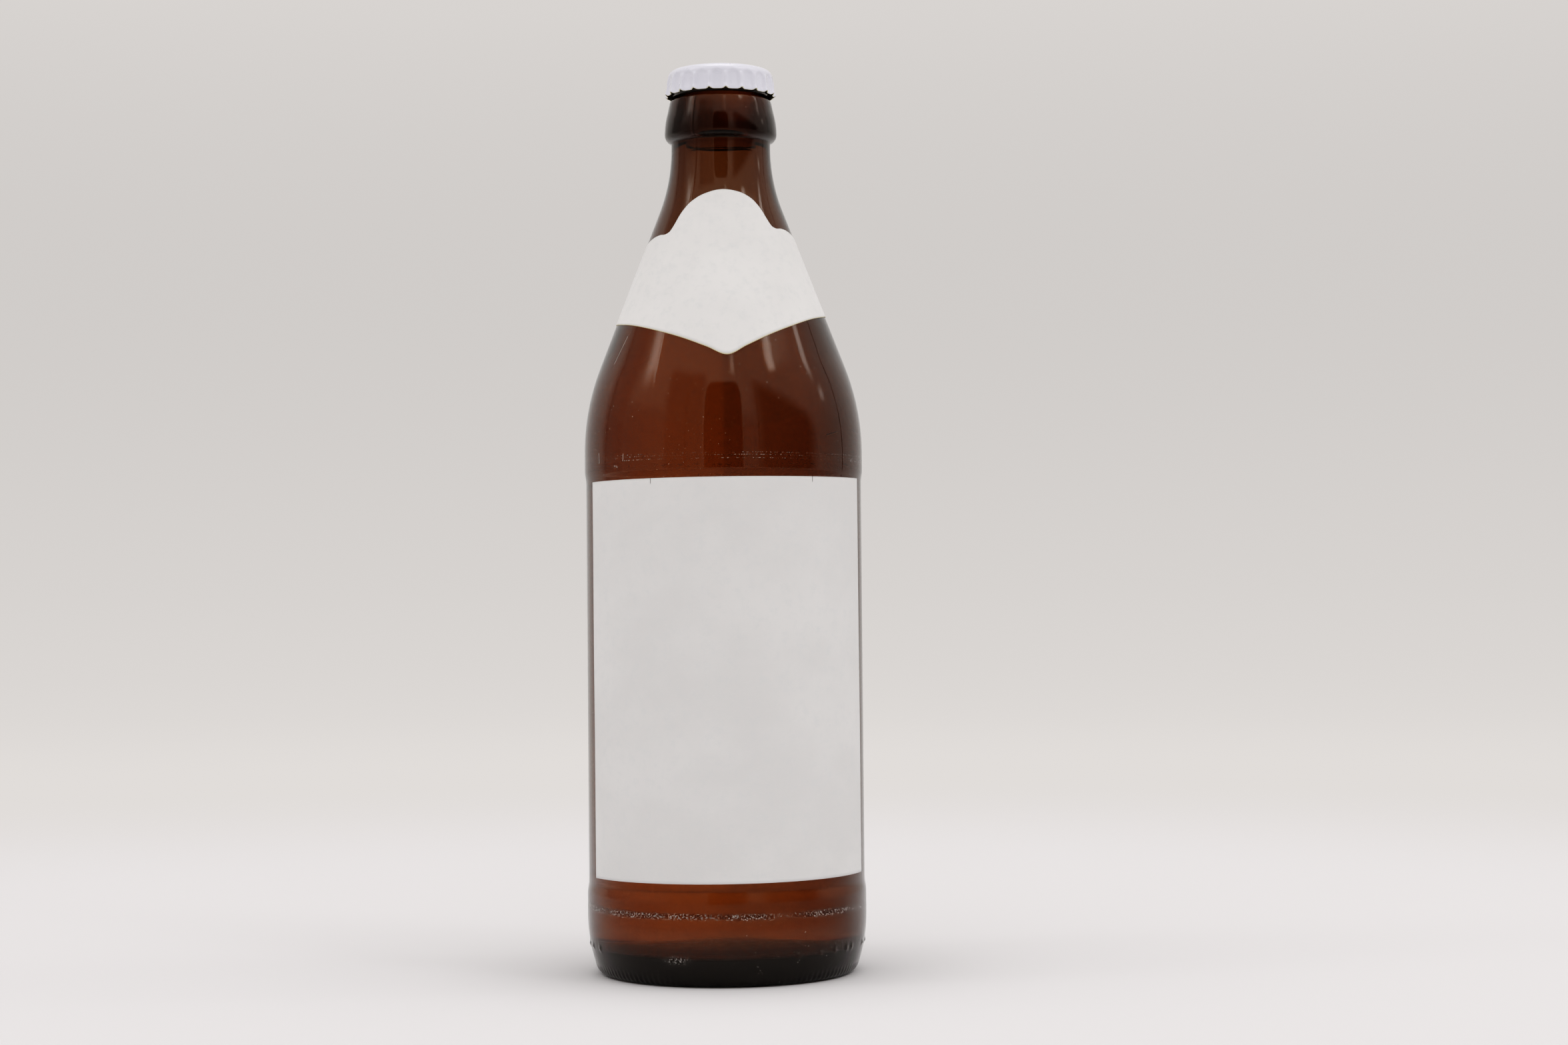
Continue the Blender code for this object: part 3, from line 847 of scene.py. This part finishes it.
def cap_inside_shaded():
    """Tinned sheet on the inside of the cap, darkened as painted shade of the hollow under it."""
    shader = Shader("cap_inside_shaded")
    stain = shader.noise(700, 3.0)
    shader.set(
        Base_Color=shader.blend(stain, (0.22, 0.20, 0.16, 1), (0.32, 0.30, 0.25, 1)),
        Metallic=0.8,
        Roughness=shader.remap(stain, 0.2, 0.8, 0.35, 0.55),
    )
    return shader.material


def cap_rim():
    """The cut edge of the sheet, with the paint drawn over it."""
    shader = Shader("cap_rim")
    worn = shader.noise(1200, 3.0)
    shader.set(
        Base_Color=shader.blend(worn, (0.90, 0.87, 0.66, 1), (0.78, 0.74, 0.56, 1)),
        Roughness=shader.remap(worn, 0.3, 0.7, 0.35, 0.6),
    )
    return shader.material


def label_paper(name, width, height, tones, creased):
    """Uncoated label paper: fibres, soft clouds from the glue behind it, and short creases at its top."""
    shader = Shader(name)
    cloud = shader.noise(28, 3.0, (1.0, 1.0, 1.3), 0.55)
    mottle = shader.noise(420, 4.0, (1.0, 1.0, 1.0), 0.65)
    fibre = shader.noise(1100, 3.0, (1.0, 1.0, 3.5), 0.7)
    low, high = tones
    paper = shader.blend(shader.remap(cloud, 0.35, 0.68), colour(low, low, low), colour(high, high, high))
    paper = shader.blend(shader.remap(mottle, 0.45, 0.75, 0.0, 0.45), paper, colour(227, 229, 230))
    paper = shader.blend(shader.remap(fibre, 0.55, 0.8, 0.0, 0.25), paper, colour(246, 246, 244))
    sheet = shader.node("ShaderNodeTexCoord").outputs["UV"]
    split = shader.node("ShaderNodeSeparateXYZ")
    shader.put(sheet, split.inputs["Vector"])
    up = shader.math("MULTIPLY", split.outputs["Y"], height)
    if creased:
        near_top = shader.remap(up, height - 1.6 * MM, height - 1.0 * MM)
        across = shader.math("MULTIPLY", split.outputs["X"], width)
        for place in (0.5 * width - 19.8 * MM, 0.5 * width + 22.4 * MM):
            crease = shader.math("MULTIPLY", near_top, shader.band(across, place, 0.10 * MM, 0.08 * MM))
            paper = shader.blend(shader.math("MULTIPLY", crease, 0.8), paper, colour(96, 86, 78))
    else:
        low = shader.remap(up, 0.10 * MM, 0.30 * MM, 0.75, 0.0)
        paper = shader.blend(low, paper, colour(233, 224, 178))
    shader.set(
        Base_Color=paper,
        Roughness=shader.remap(mottle, 0.3, 0.7, 0.62, 0.78),
        Specular_IOR_Level=0.25,
    )
    rough = shader.bump(mottle, 0.03 * MM, 0.5)
    shader.put(shader.bump(fibre, 0.012 * MM, 0.5, rough), shader.surface.inputs["Normal"])
    return shader.material


def paper_edge():
    """The cut edge of the paper, yellowed by glue."""
    shader = Shader("paper_edge")
    stain = shader.noise(500, 2.0)
    shader.set(
        Base_Color=shader.blend(stain, colour(238, 228, 178), colour(214, 200, 150)),
        Roughness=0.7,
    )
    return shader.material


# Studio

def sweep_material():
    """Matt white near the bottle, where its shadow falls, and an even glow further out."""
    shader = Shader("studio_sweep")
    x, y, z = (shader.axes()[axis] for axis in ("X", "Y", "Z"))
    ramp = shader.node("ShaderNodeValToRGB")
    ramp.color_ramp.interpolation = "B_SPLINE"
    tones = ramp.color_ramp.elements
    for place, tone in SWEEP_TONES[1:-1]:
        tones.new(place / SWEEP_TOP)
    for element, (_, tone) in zip(tones, SWEEP_TONES):
        element.color = (*(tone * tint for tint in SWEEP_TINT), 1.0)
    shader.put(shader.math("DIVIDE", z, SWEEP_TOP), ramp.inputs["Fac"])
    glow = shader.node("ShaderNodeEmission")
    shader.put(ramp.outputs["Color"], glow.inputs["Color"])
    matt = shader.node("ShaderNodeBsdfDiffuse")
    matt.inputs["Color"].default_value = FLOOR_COLOUR
    away = distance_of(shader, x, y)
    mixed = shader.node("ShaderNodeMixShader")
    shader.put(shader.remap(away, FLOOR_FADE_START, FLOOR_FADE_END), mixed.inputs["Fac"])
    shader.put(matt.outputs["BSDF"], mixed.inputs[1])
    shader.put(glow.outputs["Emission"], mixed.inputs[2])
    shader.put(mixed.outputs["Shader"], shader.output.inputs["Surface"])
    shader.tree.nodes.remove(shader.surface)
    return shader.material


def add_sweep():
    outline = [(share * SWEEP_FLOOR_RADIUS, 0.0) for share in (0.0, 0.1, 0.3, 0.6)]
    outline += arc((SWEEP_FLOOR_RADIUS, SWEEP_CORNER), SWEEP_CORNER, -90, 0, 24)
    outline.append((SWEEP_FLOOR_RADIUS + SWEEP_CORNER, SWEEP_TOP))
    profile = np.array(outline)
    azimuths = np.arange(0.0, 360.0, 3.0)
    radii = np.repeat(profile[:, :1], len(azimuths), axis=1)
    heights = np.repeat(profile[:, 1:], len(azimuths), axis=1)
    mesh = lathe("studio_sweep", radii, heights, azimuths)
    mesh.materials.append(sweep_material())
    sweep = bpy.data.objects.new("studio_sweep", mesh)
    bpy.context.scene.collection.objects.link(sweep)


def soften_edges(lamp, soft):
    """Fades a lamp's light out towards its edges, over a share of its half size across and of that up."""
    lamp.use_nodes = True
    tree = lamp.node_tree
    face = tree.nodes.new("ShaderNodeNewGeometry")
    split = tree.nodes.new("ShaderNodeSeparateXYZ")
    tree.links.new(face.outputs["Parametric"], split.inputs["Vector"])
    strength = tree.nodes.new("ShaderNodeMath")
    strength.operation = "MULTIPLY"
    for side, (axis, share) in enumerate(zip(("X", "Y"), soft)):
        edge = tree.nodes.new("ShaderNodeMath")
        edge.operation = "PINGPONG"
        edge.inputs[1].default_value = 0.5
        tree.links.new(split.outputs[axis], edge.inputs[0])
        fade = tree.nodes.new("ShaderNodeMapRange")
        fade.interpolation_type = "SMOOTHSTEP"
        fade.inputs["From Max"].default_value = 0.5 * share
        tree.links.new(edge.outputs["Value"], fade.inputs["Value"])
        tree.links.new(fade.outputs["Result"], strength.inputs[side])
    tree.links.new(strength.outputs["Value"], tree.nodes["Emission"].inputs["Strength"])


def softbox(name, azimuth, elevation, width, height, radiance, distance=STUDIO_RADIUS, soft=(0.3, 0.3)):
    """A soft lamp aimed at the bottle from an azimuth and elevation, which the camera doesn't see."""
    lamp = bpy.data.lights.new(name, "AREA")
    lamp.shape = "RECTANGLE"
    lamp.size = width
    lamp.size_y = height
    lamp.energy = radiance * width * height * math.pi
    lamp.color = LAMP_COLOUR
    soften_edges(lamp, soft)
    made = bpy.data.objects.new(name, lamp)
    bpy.context.scene.collection.objects.link(made)
    rise = distance * math.tan(math.radians(elevation))
    made.location = Vector(at(azimuth, distance, AIM_HEIGHT + rise))
    aim = Vector((0.0, 0.0, AIM_HEIGHT)) - made.location
    made.rotation_mode = "QUATERNION"
    made.rotation_quaternion = aim.to_track_quat("-Z", "Y")
    made.visible_camera = False
    return made


def add_lights():
    world = bpy.data.worlds.new("studio_sky")
    world.use_nodes = True
    background = world.node_tree.nodes["Background"]
    background.inputs["Color"].default_value = (*SWEEP_TINT, 1.0)
    background.inputs["Strength"].default_value = SKY_STRENGTH
    bpy.context.scene.world = world
    overhead = softbox("overhead_lamp", 0.0, 0.0, 1.1, 1.1, 1.9, 0.001)
    overhead.location = (0.0, 0.0, 1.75)
    overhead.rotation_quaternion = (1.0, 0.0, 0.0, 0.0)
    softbox("left_high_lamp", -76.0, 44.0, 0.36, 0.95, 1.9, soft=(1.0, 0.75))
    softbox("front_high_lamp", 10.0, 43.0, 0.12, 0.30, 1.3, soft=(1.0, 0.8))
    softbox("right_front_lamp", 51.0, 50.0, 0.26, 0.75, 2.5, soft=(0.8, 0.3))
    softbox("right_high_lamp", 92.0, 44.0, 0.17, 0.95, 2.2, soft=(0.8, 0.7))
    softbox("right_low_lamp", 97.0, 21.0, 0.16, 0.14, 1.2, soft=(1.0, 1.0))
    softbox("right_roof_lamp", 66.0, 50.0, 0.70, 0.70, 0.6, soft=(0.5, 0.5))


def azimuth_of(shader, x, y):
    """Azimuth of a point in degrees, from -Y towards +X."""
    turn = shader.math("ARCTAN2", x, shader.math("MULTIPLY", y, -1.0))
    return shader.math("MULTIPLY", turn, 180.0 / math.pi)


def distance_of(shader, x, y):
    """How far a point is from the bottle's axis."""
    squares = shader.math("ADD", shader.math("MULTIPLY", x, x), shader.math("MULTIPLY", y, y))
    return shader.math("POWER", squares, 0.5)


def reflected_tent_dark(shader):
    """How much light the tent lacks: all in the camera's opening, and a share in its shades and seams."""
    x, y, z = (shader.axes()[axis] for axis in ("X", "Y", "Z"))
    azimuth = azimuth_of(shader, x, y)
    across = shader.math("ABSOLUTE", shader.math("DIVIDE", azimuth, OPENING_HALF_ANGLE))
    up = shader.math("DIVIDE", z, OPENING_TOP)
    rounded = shader.math("ADD", shader.math("POWER", across, 6.0), shader.math("POWER", up, 9.0))
    dark = shader.remap(rounded, 0.7, 1.3, 1.0, 0.0)
    for middle, half_width, soft, share, top, top_soft, rise in SHADES:
        shade = shader.math("MULTIPLY", shader.band(azimuth, middle, half_width, soft), share)
        top_here = shader.math("MULTIPLY_ADD", shader.math("SUBTRACT", azimuth, middle), rise, top)
        low = shader.remap(shader.math("SUBTRACT", z, top_here), -top_soft, top_soft, 1.0, 0.0)
        dark = shader.math("MAXIMUM", dark, shader.math("MULTIPLY", shade, low))
    on_floor = shader.math("LESS_THAN", z, 2 * SCREEN_LIFT)
    start, end, share = FLOOR_SHADE
    floor_dark = shader.remap(distance_of(shader, x, y), start, end, 0.0, share)
    in_front = shader.band(azimuth, 0.0, FLOOR_SHADE_HALF_ANGLE, FLOOR_SHADE_SOFT)
    floor_dark = shader.math("MULTIPLY", floor_dark, in_front)
    return shader.remap(on_floor, 0.0, 1.0, dark, floor_dark, "LINEAR"), 0.0


def backlight_change(shader):
    """Behind the bottle the tent is dimmer on the left and brighter on the right."""
    x, y, z = (shader.axes()[axis] for axis in ("X", "Y", "Z"))
    azimuth = azimuth_of(shader, x, y)
    middle, half_width, soft, share = BACK_DIM
    dark = shader.math("MULTIPLY", shader.band(azimuth, middle, half_width, soft), share)
    middle, half_width, soft, share = BACK_GLOW
    glow = shader.math("MULTIPLY", shader.band(azimuth, middle, half_width, soft), share)
    start, end, share = NEAR_FLOOR_GLOW
    near = shader.remap(distance_of(shader, x, y), start, end, share, 0.0)
    more = shader.math("MULTIPLY_ADD", glow, FLOOR_GLOW, near)
    on_floor = shader.math("LESS_THAN", z, 2 * SCREEN_LIFT)
    return dark, shader.math("MULTIPLY_ADD", on_floor, more, glow)


def add_screen(name, radius, top, tones, seen_in):
    """A see-through screen round the bottle and over the floor, which takes away a share of the light
    and adds some, for one kind of ray."""
    shader = Shader(name)
    dark, glow = tones(shader)
    clear = shader.node("ShaderNodeBsdfTransparent")
    added = shader.node("ShaderNodeEmission")
    added.inputs["Color"].default_value = (*SWEEP_TINT, 1.0)
    shader.put(glow, added.inputs["Strength"])
    shader.put(shader.blend(dark, (1, 1, 1, 1), (0, 0, 0, 1)), clear.inputs["Color"])
    both = shader.node("ShaderNodeAddShader")
    shader.put(clear.outputs["BSDF"], both.inputs[0])
    shader.put(added.outputs["Emission"], both.inputs[1])
    shader.put(both.outputs["Shader"], shader.output.inputs["Surface"])
    shader.tree.nodes.remove(shader.surface)
    shader.material.cycles.emission_sampling = "NONE"
    azimuths = np.arange(0.0, 360.0, 4.0)
    profile = np.array([(SCREEN_HOLE, SCREEN_LIFT), (radius, SCREEN_LIFT), (radius, top)])
    columns = np.ones((1, len(azimuths)))
    mesh = lathe(name, profile[:, :1] * columns, profile[:, 1:] * columns, azimuths)
    mesh.materials.append(shader.material)
    screen = bpy.data.objects.new(name, mesh)
    bpy.context.scene.collection.objects.link(screen)
    for kind in ("camera", "diffuse", "glossy", "transmission", "shadow", "volume_scatter"):
        setattr(screen, f"visible_{kind}", kind == seen_in)


def add_camera():
    pitch, yaw, roll = (math.radians(a) for a in (CAMERA_PITCH, CAMERA_YAW, CAMERA_ROLL))
    ahead = Vector((math.sin(yaw) * math.cos(pitch), math.cos(yaw) * math.cos(pitch), math.sin(pitch)))
    level = Vector((math.cos(yaw), -math.sin(yaw), 0.0))
    upright = level.cross(ahead)
    right = level * math.cos(roll) + upright * math.sin(roll)
    up = upright * math.cos(roll) - level * math.sin(roll)
    lens = bpy.data.cameras.new("camera")
    lens.sensor_width = SENSOR_WIDTH
    lens.lens = FOCAL_PIXELS / PHOTO_WIDTH * SENSOR_WIDTH
    lens.clip_start = 0.01
    camera = bpy.data.objects.new("camera", lens)
    bpy.context.scene.collection.objects.link(camera)
    turned = Matrix((right, up, -ahead)).transposed().to_4x4()
    camera.matrix_world = Matrix.Translation(CAMERA_PLACE) @ turned
    bpy.context.scene.camera = camera


def set_render_look():
    scene = bpy.context.scene
    scene.view_settings.view_transform = "Standard"
    scene.view_settings.look = "None"
    scene.view_settings.use_curve_mapping = True
    curves = scene.view_settings.curve_mapping
    for place, value in FILM_TOE:
        curves.curves[3].points.new(place, value).handle_type = "AUTO_CLAMPED"
    curves.update()
    scene.cycles.max_bounces = 24
    scene.cycles.transmission_bounces = 24
    scene.cycles.glossy_bounces = 8


glass_bottle()
beer()
crown_cap()
front_label()
neck_label()
add_sweep()
add_lights()
add_screen("reflected_tent", TENT_RADIUS, TENT_TOP, reflected_tent_dark, "glossy")
add_screen("backlight", BACK_RADIUS, BACK_TOP, backlight_change, "transmission")
add_camera()
set_render_look()
